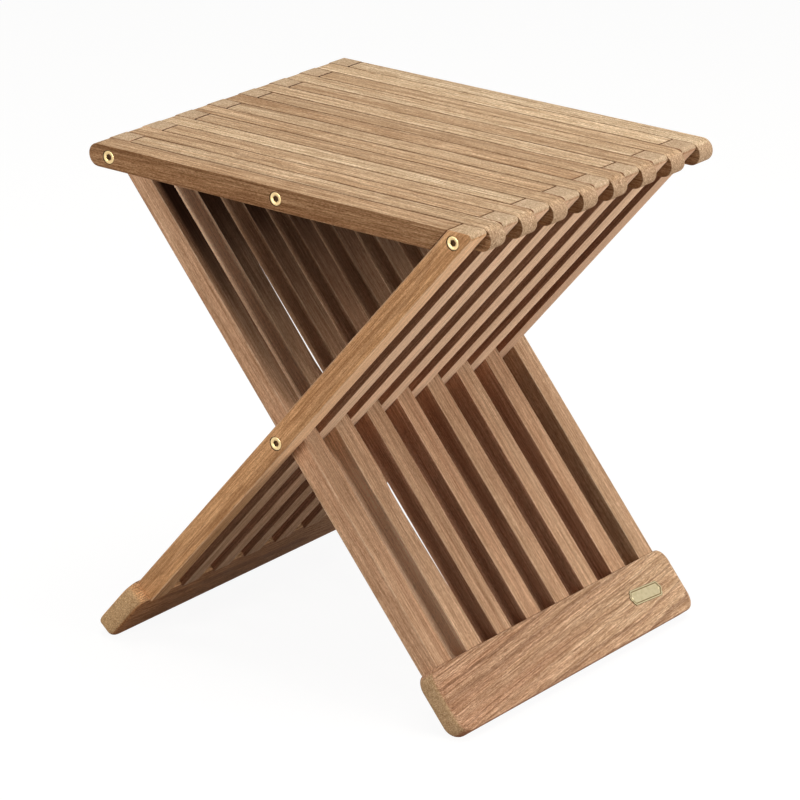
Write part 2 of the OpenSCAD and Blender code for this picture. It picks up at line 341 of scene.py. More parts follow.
    # the dark grain is browner and the light grain paler than the board's own colour
    shade = addNode(tree, "ShaderNodeCombineXYZ", {0: addMath(tree, "POWER", shade, 0.8), 1: shade,
                    2: addMath(tree, "POWER", shade, 1.2)}).outputs[0]
    colourNow = addMix(tree, 1.0, colourNow, shade, "MULTIPLY")
    poreShare = addMath(tree, "MULTIPLY", pore, given["Pore Strength"], clamp=True)
    colourNow = addMix(tree, poreShare, colourNow, given["Ring Colour"])
    endColour = addMix(tree, 1.0, given["End Colour"], shade, "MULTIPLY")
    colourNow = addMix(tree, addMath(tree, "MULTIPLY", given["End"], 0.75), colourNow, endColour)
    tree.links.new(colourNow, wanted["Color"])

    rough = addRange(tree, fibre, 0.0, 1.0, 0.7, 0.88)
    for value, weight in ((poreShare, 0.2), (given["End"], 0.12)):
        rough = addMath(tree, "ADD", rough, addMath(tree, "MULTIPLY", value, weight))
    tree.links.new(rough, wanted["Roughness"])
    height = addMath(tree, "MULTIPLY", fibre, 0.4)
    for value, weight in ((late, 0.25), (speck, 0.2), (poreShare, -0.6)):
        height = addMath(tree, "ADD", height, addMath(tree, "MULTIPLY", value, weight))
    tree.links.new(height, wanted["Height"])
    return tree


def makeWearGroup():
    # a mask that rises towards the long edges of a board, broken up by a fine noise; it paints edge wear
    # together with a painted edge highlight
    number, vector = "NodeSocketFloat", "NodeSocketVector"
    tree, given, wanted = newGroup("edgeWearAndHighlight", "ShaderNodeTree", [
        ("Place", vector, None), ("Half Width", number, 0.01), ("Half Depth", number, 0.01),
        ("Reach", number, 0.002), ("Patchiness", number, 0.5),
    ], [("Mask", number)])
    axes = addNode(tree, "ShaderNodeSeparateXYZ", {0: given["Place"]}).outputs
    masks = []
    for axis, half in ((axes[1], given["Half Width"]), (axes[2], given["Half Depth"])):
        inset = addMath(tree, "SUBTRACT", half, addMath(tree, "ABSOLUTE", axis))
        masks.append(addRange(tree, inset, given["Reach"], 0.0))
    both = addMath(tree, "MULTIPLY", masks[0], masks[1])
    rub = addRange(tree, addNoise(tree, given["Place"], 90.0, 3.0), 0.62, 0.38)
    kept = addMath(tree, "SUBTRACT", 1.0, addMath(tree, "MULTIPLY", rub, given["Patchiness"]))
    tree.links.new(addMath(tree, "MULTIPLY", both, kept, clamp=True), wanted["Mask"])
    return tree


def makeBrassGroup():
    # fine turning marks, small scratches, a little tarnish, and grime with painted shade
    colour, number, vector = "NodeSocketColor", "NodeSocketFloat", "NodeSocketVector"
    tree, given, wanted = newGroup("brassWearAndShade", "ShaderNodeTree", [
        ("Place", vector, None), ("Bright", colour, (0.86, 0.68, 0.36, 1)),
        ("Tarnish", colour, (0.45, 0.31, 0.12, 1)), ("Tarnish Strength", number, 0.5),
        ("Grime And Shade", number, 0.0), ("Grime And Shade Colour", colour, (0.17, 0.115, 0.045, 1)),
    ], [("Color", colour), ("Roughness", number), ("Height", number)])
    spots = addNoise(tree, given["Place"], 260.0, 4.0)
    marks = addNoise(tree, addVectorMath(tree, "MULTIPLY", given["Place"], (900.0, 5200.0, 1900.0)), 1.0, 2.0)
    dull = addMath(tree, "MULTIPLY", addRange(tree, spots, 0.42, 0.72), given["Tarnish Strength"])
    metal = addMix(tree, dull, given["Bright"], given["Tarnish"])
    # grime and painted shade: the marked share turns dark olive
    tree.links.new(addMix(tree, given["Grime And Shade"], metal, given["Grime And Shade Colour"]), wanted["Color"])
    rough = addRange(tree, marks, 0.3, 0.7, 0.24, 0.36)
    rough = addMath(tree, "ADD", rough, addMath(tree, "MULTIPLY", dull, 0.3))
    rough = addMath(tree, "ADD", rough, addMath(tree, "MULTIPLY", given["Grime And Shade"], 0.4), clamp=True)
    tree.links.new(rough, wanted["Roughness"])
    tree.links.new(marks, wanted["Height"])
    return tree


woodGroup, edgeWearAndHighlightGroup, brassGroup = makeWoodGroup(), makeWearGroup(), makeBrassGroup()

seatWood = {
    "Pale": (0.75, 0.565, 0.37, 1), "Deep": (0.46, 0.295, 0.17, 1),
    "Ring Colour": (0.20, 0.105, 0.05, 1), "End Colour": (0.45, 0.295, 0.185, 1),
    "Red Tint": (1.0, 0.90, 0.83, 1),
    "Ring Gap": 0.0042, "Ring Strength": 0.45, "Wave": 0.003, "Cloud Strength": 0.5,
    "Streak Strength": 0.5, "Fibre Strength": 0.85, "Pore Strength": 0.7, "Worn Share": 0.12,
    "Bleached": (0.78, 0.60, 0.42, 1), "Bleached Share": 0.0,
}
legWood = {
    "Pale": (0.66, 0.445, 0.28, 1), "Deep": (0.40, 0.225, 0.125, 1),
    "Ring Colour": (0.20, 0.095, 0.045, 1), "End Colour": (0.57, 0.43, 0.285, 1),
    "Red Tint": (1.0, 0.87, 0.84, 1), "Gold Tint": (1.08, 0.91, 0.70, 1),
    "Ring Gap": 0.0045, "Ring Strength": 0.3, "Wave": 0.003, "Cloud Strength": 0.4,
    "Streak Strength": 0.35, "Fibre Strength": 0.6, "Pore Strength": 0.5, "Worn Share": 0.3,
    "Bleached": (0.84, 0.67, 0.50, 1), "Bleached Share": 0.3,
}
footWood = {
    "Pale": (0.665, 0.445, 0.275, 1), "Deep": (0.41, 0.235, 0.135, 1),
    "Ring Colour": (0.17, 0.075, 0.04, 1), "End Colour": (0.45, 0.30, 0.16, 1),
    "Red Tint": (1.0, 0.86, 0.84, 1), "Gold Tint": (1.15, 0.93, 0.68, 1),
    "Ring Gap": 0.0019, "Ring Start": 0.55, "Ring Strength": 0.65, "Wave": 0.003, "Cloud Strength": 0.45,
    "Streak Strength": 0.3, "Fibre Strength": 0.75, "Pore Strength": 0.7, "Worn Share": 0.1,
    "Bleached": (0.84, 0.67, 0.50, 1), "Bleached Share": 0.0,
}
seatBoard = {"Half Width": 0.0101, "Half Depth": 0.01025, "Reach": 0.0012}
legBoard = {"Half Width": 0.0105, "Half Depth": 0.0103, "Reach": 0.0016}
footBoard = {"Half Width": 0.0305, "Half Depth": 0.0101, "Reach": 0.0022}


def makePatinaGroup():
    # painted shade where a face is turned to the next slat or turned down, painted shadow where the seat
    # shades it, and painted light on undersides and the second slat's front
    number, vector = "NodeSocketFloat", "NodeSocketVector"
    tree, given, wanted = newGroup("paintedLightAndShade", "ShaderNodeTree", [
        ("Place", vector, None), ("Facing", vector, None), ("End", number, 0.0), ("Gap Depth", number, 0.0),
        ("Gap Top", number, 1.0), ("Gap Front", number, -0.136), ("Down Depth", number, 0.0),
        ("Down Start", number, 0.8), ("Down End", number, 0.35), ("Seat Shadow Start", number, 1.0),
        ("Seat Shadow End", number, 2.0), ("Underside Light Depth", number, 0.0), ("Front Depth", number, 0.0),
    ], [("Side", number), ("Seat Shadow", number), ("Underside Light", number)])
    spot = addNode(tree, "ShaderNodeSeparateXYZ", {0: given["Place"]}).outputs
    turn = addNode(tree, "ShaderNodeSeparateXYZ", {0: given["Facing"]}).outputs
    notEnd = addMath(tree, "SUBTRACT", 1.0, given["End"])
    gapStart = addMath(tree, "SUBTRACT", given["Gap Front"], 0.008)
    inner = addProduct(tree, addRange(tree, spot[1], gapStart, given["Gap Front"]),
                       addRange(tree, spot[1], 0.144, 0.136))
    across = addRange(tree, addMath(tree, "ABSOLUTE", turn[1]), 0.5, 0.85)
    blur = addMath(tree, "SUBTRACT", addNoise(tree, given["Place"], 30.0, 3.0), 0.5)
    height = addMath(tree, "ADD", spot[2], addMath(tree, "MULTIPLY", blur, 0.05))
    gapEnd = addMath(tree, "SUBTRACT", given["Gap Top"], 0.05)
    # painted shade on faces turned to the next slat in the gaps, and on faces turned down
    gap = addProduct(tree, across, inner, given["Gap Depth"],
                     addRange(tree, height, given["Gap Top"], gapEnd))
    down = addRange(tree, turn[2], given["Down Start"], given["Down End"])
    down = addMath(tree, "MULTIPLY", down, given["Down Depth"])
    tree.links.new(addProduct(tree, addMath(tree, "MAXIMUM", gap, down), notEnd), wanted["Side"])
    # painted shadow on the wood above the crossing that the seat shades, behind the front slat
    high = addProduct(tree, addRange(tree, height, given["Seat Shadow Start"], given["Seat Shadow End"]),
                      addRange(tree, spot[1], -0.149, -0.140))
    turned = addRange(tree, turn[0], 0.2, 0.6, addRange(tree, spot[1], -0.10, -0.02, 0.0, 0.6), 1.0)
    tree.links.new(addProduct(tree, high, turned, notEnd), wanted["Seat Shadow"])
    # painted light on the undersides above the crossing, and on the front of the second slat, which is
    # painted paler than the others
    under = addProduct(tree, addRange(tree, turn[2], -0.25, -0.6), addRange(tree, height, 0.13, 0.24),
                       given["Underside Light Depth"])
    middle = addProduct(tree, addRange(tree, spot[2], 0.17, 0.22), addRange(tree, spot[2], 0.38, 0.28))
    second = addProduct(tree, addRange(tree, spot[1], -0.116, -0.112),
                        addRange(tree, spot[1], -0.100, -0.104), across, given["Front Depth"],
                        addRange(tree, middle, 0.0, 1.0, 1.0, 0.35))
    tree.links.new(addProduct(tree, addMath(tree, "MAXIMUM", under, second), notEnd), wanted["Underside Light"])
    return tree


paintedLightGroup = makePatinaGroup()


def woodMaterial(name, wood, board, fibres, paintedLightAndShade, gapShadeTint, seatShadowTint=plainWhite, undersideLightTint=plainWhite,
                 lean=0.0):
    # fibres: the direction of the grain in the stool's frame, which tells end grain from side grain
    # the three tints: painted shade in the gaps, painted shadow under the seat and painted light on the
    # undersides, each multiplied into the wood's colour; lean: the angle of the grain to the board, in
    # degrees
    material = bpy.data.materials.new(name)
    material.use_nodes = True
    tree = material.node_tree
    shader = tree.nodes["Principled BSDF"]
    place = addNode(tree, "ShaderNodeAttribute", attribute_name="boardPlace").outputs["Vector"]
    seed, tone, hue = (addNode(tree, "ShaderNodeAttribute", attribute_name=label).outputs["Fac"]
                       for label in ("boardSeed", "boardTone", "boardHue"))
    facing = tree.nodes.new("ShaderNodeTexCoord").outputs["Normal"]
    along = addMath(tree, "ABSOLUTE", addVectorMath(tree, "DOT_PRODUCT", facing, fibres))
    end = addRange(tree, along, 0.5, 0.8)
    wearAndLightKeys = ("Worn Share", "Bleached", "Bleached Share")
    looks = {key: value for key, value in wood.items() if key not in wearAndLightKeys}
    sawn = addNode(tree, "ShaderNodeVectorRotate", {"Vector": place, "Angle": math.radians(lean)},
                   rotation_type="Z_AXIS").outputs[0]
    grain = placeGroup(tree, woodGroup,
                       {"Place": sawn, "Seed": seed, "Tone": tone, "Hue": hue, "End": end, **looks})
    wearAndPaintedLight = placeGroup(tree, edgeWearAndHighlightGroup, {"Place": place, "Patchiness": 0.6, **board})["Mask"]
    spot = tree.nodes.new("ShaderNodeTexCoord").outputs["Object"]
    paintedMasks = placeGroup(tree, paintedLightGroup, {"Place": spot, "Facing": facing, "End": end, **paintedLightAndShade})
    # painted shade, painted seat shadow and painted underside light, multiplied into the grain's colour
    paintedColour = addTint(tree, grain["Color"], paintedMasks["Side"], gapShadeTint)
    paintedColour = addTint(tree, paintedColour, paintedMasks["Seat Shadow"], seatShadowTint)
    paintedColour = addTint(tree, paintedColour, paintedMasks["Underside Light"], undersideLightTint)
    # painted light: the undersides are mixed towards a pale colour
    undersideLightShare = addMath(tree, "MULTIPLY", paintedMasks["Underside Light"], wood["Bleached Share"])
    paintedColour = addMix(tree, undersideLightShare, paintedColour, wood["Bleached"])
    # edges are paler from wear and from a painted highlight, which is left out where painted shade or shadow
    # lies
    unshaded = addMath(tree, "SUBTRACT", 1.0, addMath(tree, "MAXIMUM", paintedMasks["Side"], paintedMasks["Seat Shadow"]))
    wearAndHighlightShare = addProduct(tree, wearAndPaintedLight, wood["Worn Share"], unshaded)
    wearAndHighlightColour = addMix(tree, wearAndHighlightShare, paintedColour, wood["Bleached"])
    tree.links.new(wearAndHighlightColour, shader.inputs["Base Color"])
    tree.links.new(addMath(tree, "ADD", grain["Roughness"], addMath(tree, "MULTIPLY", wearAndPaintedLight, -0.08)),
                   shader.inputs["Roughness"])
    bump = addNode(tree, "ShaderNodeBump", {"Height": grain["Height"], "Strength": 0.4, "Distance": 0.0004})
    tree.links.new(bump.outputs[0], shader.inputs["Normal"])
    shader.inputs["Specular IOR Level"].default_value = 0.1
    return material


def brassMaterial(name, brass):
    material = bpy.data.materials.new(name)
    material.use_nodes = True
    tree = material.node_tree
    shader = tree.nodes["Principled BSDF"]
    place = tree.nodes.new("ShaderNodeTexCoord").outputs["Object"]
    # grime and painted shade, marked on the nut and plate meshes
    grimeAndShade = addNode(tree, "ShaderNodeAttribute", attribute_name="grimeAndShade").outputs["Fac"]
    wearAndPaintedLight = placeGroup(tree, brassGroup, {"Place": place, "Grime And Shade": grimeAndShade, **brass})
    tree.links.new(wearAndPaintedLight["Color"], shader.inputs["Base Color"])
    tree.links.new(wearAndPaintedLight["Roughness"], shader.inputs["Roughness"])
    bump = addNode(tree, "ShaderNodeBump", {"Height": wearAndPaintedLight["Height"], "Strength": 0.15, "Distance": 0.0001})
    tree.links.new(bump.outputs[0], shader.inputs["Normal"])
    shader.inputs["Metallic"].default_value = 1.0
    return material


# settings for the painted shade in gaps and on faces turned down, the painted shadow under the seat and the
# painted light on undersides
seatPaintedLight = {"Down Depth": 1.0, "Gap Depth": 1.0}
leftPaintedLight = {"Gap Depth": 1.0, "Underside Light Depth": 1.0}
rightPaintedLight = {"Gap Depth": 1.0, "Gap Top": 0.27, "Gap Front": -0.09, "Front Depth": 1.0,
               "Seat Shadow Start": 0.22, "Seat Shadow End": 0.41}
footPaintedLight = {"Down Depth": 1.0, "Down Start": 0.2, "Down End": -0.5}
# tints below: painted shade in gaps and on faces turned down, a near-black painted shadow under the seat on
# the right legs, and painted light on undersides where a tint is above 1
gapShadeTone = (0.98, 0.89, 0.90, 1)
seatTeak = woodMaterial("seatTeak", seatWood, seatBoard, (1, 0, 0), seatPaintedLight, (0.585, 0.475, 0.39, 1))
leftLegTeak = woodMaterial("leftLegTeak", legWood, legBoard, (run, 0, rise), leftPaintedLight,
                           (0.86, 0.73, 0.69, 1), undersideLightTint=(1.36, 1.36, 1.38, 1))
rightLegTeak = woodMaterial("rightLegTeak", legWood, legBoard, (-run, 0, rise), rightPaintedLight, gapShadeTone,
                            (0.09, 0.06, 0.05, 1), undersideLightTint=(1.85, 1.85, 1.9, 1))
footTeak = woodMaterial("footTeak", footWood, footBoard, (0, 1, 0), footPaintedLight,
                        (0.62, 0.50, 0.43, 1), lean=6.0)
# near-black wood for the walls of the nut recesses: painted shade
recessShadeWood = {**legWood, "Pale": (0.10, 0.055, 0.03, 1), "Deep": (0.06, 0.03, 0.015, 1),
              "End Colour": (0.08, 0.05, 0.03, 1)}
recessShadeTeak = woodMaterial("recessShadeTeak", recessShadeWood, legBoard, (1, 0, 0), {}, gapShadeTone)
nutBrass = brassMaterial("nutBrass", {"Bright": (0.74, 0.55, 0.28, 1), "Tarnish": (0.46, 0.32, 0.14, 1),
                                      "Tarnish Strength": 0.4})
plateBrass = brassMaterial("plateBrass", {"Bright": (0.62, 0.53, 0.33, 1), "Tarnish": (0.42, 0.35, 0.20, 1),
                                          "Tarnish Strength": 0.5})
rodBrass = brassMaterial("rodBrass", {"Bright": (0.62, 0.47, 0.25, 1), "Tarnish": (0.34, 0.23, 0.10, 1),
                                      "Tarnish Strength": 0.8})
print("materials ready")


# Rows of slats.

def makeSlatRowTree():
    # one flat outline becomes a board, and the board a row across the stool
    number, vector = "NodeSocketFloat", "NodeSocketVector"
    tree, given, wanted = newGroup("slatRow", "GeometryNodeTree", [
        ("Outline", "NodeSocketGeometry", None), ("Slat Width", number, 0.02), ("Slats", "NodeSocketInt", 8),
        ("First Y", number, 0.0), ("Pitch", number, 0.0424), ("Lean", number, 0.0),
        ("Half Turn", number, 0.0), ("Place", vector, None), ("Wood", "NodeSocketMaterial", None),
    ], [("Row", "NodeSocketGeometry")])
    toFront = addNode(tree, "ShaderNodeCombineXYZ",
                      {"Y": addMath(tree, "MULTIPLY", given["Slat Width"], -0.5)}).outputs[0]
    face = addNode(tree, "GeometryNodeTransform",
                   {"Geometry": given["Outline"], "Translation": toFront}).outputs[0]
    solid = addNode(tree, "GeometryNodeExtrudeMesh", {"Mesh": face, "Offset": (0.0, 1.0, 0.0),
                    "Offset Scale": given["Slat Width"], "Individual": False}).outputs["Mesh"]
    front = addNode(tree, "GeometryNodeFlipFaces", {"Mesh": face}).outputs[0]
    board = tree.nodes.new("GeometryNodeJoinGeometry")
    tree.links.new(front, board.inputs[0])
    tree.links.new(solid, board.inputs[0])
    board = addNode(tree, "GeometryNodeMergeByDistance",
                    {"Geometry": board.outputs[0], "Distance": 1e-6}).outputs[0]
    lean = addNode(tree, "ShaderNodeCombineXYZ", {"Y": given["Lean"]}).outputs[0]
    board = addNode(tree, "GeometryNodeTransform",
                    {"Geometry": board, "Translation": given["Place"], "Rotation": lean}).outputs[0]
    turn = addNode(tree, "ShaderNodeCombineXYZ", {"Z": given["Half Turn"]}).outputs[0]
    board = addNode(tree, "GeometryNodeTransform", {"Geometry": board, "Rotation": turn}).outputs[0]
    start = addNode(tree, "ShaderNodeCombineXYZ", {"Y": given["First Y"]}).outputs[0]
    step = addNode(tree, "ShaderNodeCombineXYZ", {"Y": given["Pitch"]}).outputs[0]
    line = {"Count": given["Slats"], "Start Location": start, "Offset": step}
    places = addNode(tree, "GeometryNodeMeshLine", line, mode="OFFSET").outputs[0]
    row = addNode(tree, "GeometryNodeInstanceOnPoints", {"Points": places, "Instance": board}).outputs[0]
    row = addNode(tree, "GeometryNodeRealizeInstances", {"Geometry": row}).outputs[0]
    row = addNode(tree, "GeometryNodeSetMaterial", {"Geometry": row, "Material": given["Wood"]}).outputs[0]
    tree.links.new(row, wanted["Row"])
    return tree


slatRowTree = makeSlatRowTree()

legSlats = {
    "width": 0.021,
    "edge": 0.0005,
    "tipRadius": 0.0035,
    "bottom": -0.2306,       # along the leg from the crossing, a little inside the foot board
    "leftTones": [0.5, 0.5, 0.3, 0.45, 0.25, 0.55, 0.4, 0.9],
    "leftHues": [-1.0, 0.3, 0.6, 0.4, 0.6, 0.4, 0.5, 0.7],
    "rightTones": [0.45, 0.3, 0.5, 0.35, 0.45, 0.3, 0.4, 0.35],
    "rightHues": [0.6, 0.4, 0.5, 0.7, 0.5, 0.4, 0.6, 0.2],
    "leftSeed": 0.0,
    "rightSeed": 16.0,
    "stations": [-0.2 + 0.01 * i for i in range(41)],
    # number of the slat, shift of its front, and the depth taken off its back at places along it
    "rightPlaned": [(2, -0.0003, [(-0.18, 0.0), (-0.10, 0.0022), (-0.075, 0.0018), (-0.065, 0.0002),
                                  (0.035, 0.0002), (0.045, 0.0018), (0.155, 0.0)])],
}
seatSlats = {
    "width": 0.0202,
    "edge": 0.0006,
    "noseReach": 0.022,
    "stopGap": 0.0009,
    "leftTones": [0.75, 0.55, 0.2, 0.6, 0.85, 0.35, 0.3, 0.05],
    "leftHues": [0.6, 0.6, 0.2, 0.6, 0.4, 0.4, 0.3, 0.3],
    "rightTones": [0.35, 0.5, 0.55, 0.5, 0.7, 0.65, 0.45, 0.15],
    "rightHues": [0.4, 0.5, 0.4, 0.3, 0.3, 0.4, 0.5, 0.1],
    "leftSeed": 32.0,
    "rightSeed": 48.0,
    "stations": [],
}
edgeSteps = 3
arcSteps = 20
pocket = {"radius": 0.00608, "depth": 0.0022, "flare": 0.00025, "reach": 0.003, "steps": 64}


def arc(centre, radius, startAngle, endAngle, steps):
    angles = [math.radians(startAngle + (endAngle - startAngle) * i / steps) for i in range(steps + 1)]
    return [(centre[0] + radius * math.cos(a), centre[1] + radius * math.sin(a)) for a in angles]


def legOutline():
    # x along the leg from the crossing, z square to it; the top is cut level with the seat
    half = stool["legDepth"] / 2
    top = (crossDrop + stool["seatDepth"] / 2) / rise
    radius = legSlats["tipRadius"]
    lean = math.degrees(legAngle)
    tipZ = -(half - radius)
    tipX = top + (-tipZ * run - radius) / rise
    tip = arc((tipX, tipZ), radius, -90.0, 90.0 - lean, 8)
    bottom = legSlats["bottom"]
    return [(bottom, half), (top - half * run / rise, half)] + tip[::-1] + [(bottom, -half)]


def seatOutline():
    half = stool["seatDepth"] / 2
    centre = -stool["seatRodX"] - seatSlats["noseReach"] + half
    stop = stool["seatRodX"] - (stool["legDepth"] / 2 + seatSlats["stopGap"]) / rise
    lean = half * run / rise
    return arc((centre, 0.0), half, 270.0, 90.0, arcSteps) + [(stop + lean, half), (stop - lean, -half)]


def between(x, points):
    # the value at x on a line through the points, nothing outside them
    for (lowX, low), (highX, high) in zip(points, points[1:]):
        if lowX <= x <= highX:
            return low + (high - low) * (x - lowX) / (highX - lowX)
    return 0.0


def outlineMesh(name, points, stations=()):
    # the flat outline, cut across at the stations so that a board can change its width along its length
    def build(bm):
        face = bm.faces.new([bm.verts.new((x, 0.0, z)) for x, z in points])
        face.normal_update()
        if face.normal.y < 0:
            face.normal_flip()
        for x in stations:
            bmesh.ops.bisect_plane(bm, geom=bm.verts[:] + bm.edges[:] + bm.faces[:], plane_co=(x, 0, 0),
                                   plane_no=(1, 0, 0))
    return meshOf(name, build)


def pocketCutter(places):
    # short flared plugs that cut the recesses for the nut heads; the cut walls take a near-black wood as
    # painted shade
    def build(bm):
        steps, narrow, wide = pocket["steps"], pocket["radius"], pocket["radius"] + pocket["flare"]
        profile = [(narrow, pocket["depth"]), (narrow, pocket["flare"]),
                   (wide, 0.0), (wide, -pocket["reach"])]
        turns = [2 * math.pi * i / steps for i in range(steps)]
        for x, y, z, side in places:
            rings = [[bm.verts.new((x + radius * math.cos(a), y - side * depth, z + radius * math.sin(a)))
                      for a in turns] for radius, depth in profile]
            for low, high in zip(rings, rings[1:]):
                for i in range(steps):
                    bm.faces.new((low[i], low[i - 1], high[i - 1], high[i]))
            bm.faces.new(rings[0])
            bm.faces.new(rings[-1][::-1])
        bmesh.ops.recalc_face_normals(bm, faces=bm.faces)
    cutter = newObject("pocketCutter", meshOf("pocketCutter", build))
    cutter.data.materials.append(recessShadeTeak)
    return cutter


def addPaint(mesh, slats, side, values):
    # where each point lies in its own board, and the seed, tone and redness of that board
    pitch, first = 2 * stool["pitch"], values["First Y"]
    toBoard = (Matrix.Rotation(values.get("Half Turn", 0.0), 4, "Z") @ Matrix.Translation(values["Place"])
               @ Matrix.Rotation(values.get("Lean", 0.0), 4, "Y")).inverted()
    numbers = [min(stool["pairs"] - 1, max(0, int(round((v.co.y - first) / pitch)))) for v in mesh.vertices]
    places = [toBoard @ (v.co - Vector((0, first + pitch * k, 0))) for v, k in zip(mesh.vertices, numbers)]
    here = mesh.attributes.new("boardPlace", "FLOAT_VECTOR", "POINT")
    here.data.foreach_set("vector", [n for place in places for n in place])
    for label, given in (("boardSeed", [slats[side + "Seed"] + k for k in range(stool["pairs"])]),
                         ("boardTone", slats[side + "Tones"]), ("boardHue", slats[side + "Hues"])):
        mesh.attributes.new(label, "FLOAT", "POINT").data.foreach_set("value", [given[k] for k in numbers])
    # one slat is thinner at its back and stands a little forward, so that light shows beside it
    for number, front, back in slats.get(side + "Planed", []):
        for v, k, place in zip(mesh.vertices, numbers, places):
            if k == number - 1:
                v.co.y += front if v.co.y < first + pitch * k else -between(place.x, back)


def makeRow(name, outline, slats, values, pockets, side):
    obj = newObject(name + "Outline", outlineMesh(name, outline, slats["stations"]))
    row = obj.modifiers.new("row", "NODES")
    row.node_group = slatRowTree
    sizes = {"Slat Width": slats["width"], "Slats": stool["pairs"], "Pitch": 2 * stool["pitch"]}
    setInputs(row, {**sizes, **values})
    bevel = obj.modifiers.new("edges", "BEVEL")
    bevel.width = slats["edge"]
    bevel.segments = edgeSteps
    bevel.limit_method = "ANGLE"
    bevel.angle_limit = math.radians(35)
    cutter = pocketCutter(pockets)
    cut = obj.modifiers.new("pockets", "BOOLEAN")
    cut.operation = "DIFFERENCE"
    cut.object = cutter
    cut.solver = "EXACT"
    cut.material_mode = "TRANSFER"
    made = settle(obj, name)
    bpy.data.objects.remove(cutter)
    made.data.shade_smooth()
    made.data.set_sharp_from_angle(angle=math.radians(40))
    addPaint(made.data, slats, side, values)
    return made


legFront = -halfStack + stool["pitch"] / 2 - legSlats["width"] / 2
seatFront = -halfStack + stool["pitch"] / 2 - seatSlats["width"] / 2
firstOdd = -halfStack + stool["pitch"] / 2
firstEven = firstOdd + stool["pitch"]
rodX, rodZ, crossZ = stool["seatRodX"], stool["seatRodZ"], stool["crossZ"]
numbers = range(1, stool["pairs"] + 1)

rows = [
    ("leftLegSlats", "left_legs", "leg_teak", legOutline(), legSlats, "left", leftLegTeak,
     {"First Y": firstOdd, "Lean": -legAngle, "Place": (0, 0, crossZ)},
     [(rodX, legFront, rodZ, -1), (0.0, legFront, crossZ, -1)], "left_leg_slat_"),
    ("rightLegSlats", "right_legs", "leg_teak", legOutline(), legSlats, "right", rightLegTeak,
     {"First Y": firstEven, "Lean": -legAngle, "Place": (0, 0, crossZ), "Half Turn": math.pi},
     [(-rodX, -legFront, rodZ, 1), (0.0, -legFront, crossZ, 1)], "right_leg_slat_"),
    ("leftSeatSlats", "left_seat", "seat_teak", seatOutline(), seatSlats, "left", seatTeak,
     {"First Y": firstOdd, "Place": (0, 0, rodZ)},
     [(-rodX, seatFront, rodZ, -1), (0.0, seatFront, rodZ, -1)], "left_seat_slat_"),
    ("rightSeatSlats", "right_seat", "seat_teak", seatOutline(), seatSlats, "right", seatTeak,
     {"First Y": firstEven, "Place": (0, 0, rodZ), "Half Turn": math.pi},
     [(rodX, -seatFront, rodZ, 1), (0.0, -seatFront, rodZ, 1)], "right_seat_slat_"),
]
for name, body, slotName, outline, slats, side, wood, values, pockets, nodeStart in rows:
    row = makeRow(name, outline, slats, {**values, "Wood": wood}, pockets, side)
    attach(row, body)
    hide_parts(*[nodeStart + str(k) for k in numbers])
    print("row", name, len(row.data.polygons), "faces")


# Foot boards.

feet = {
    "top": -0.22962,
    "height": 0.061,
    "inner": 0.0084,
    "outer": -0.0118,
    "halfLength": 0.1744,
    "middleY": -0.0107,
    "cornerRadius": 0.014,
    "standingEdge": 0.0065,
    "endEdge": 0.006,
    "outerEdge": 0.0015,
    "topEdge": 0.001,
    "cornerSteps": 12,
    # tone and redness at the front end and the back end of each board
    "tones": [(0.0, 0.3), (0.6, 0.2)],
    "hues": [(-0.8, 0.2), (0.7, 0.0)],
}


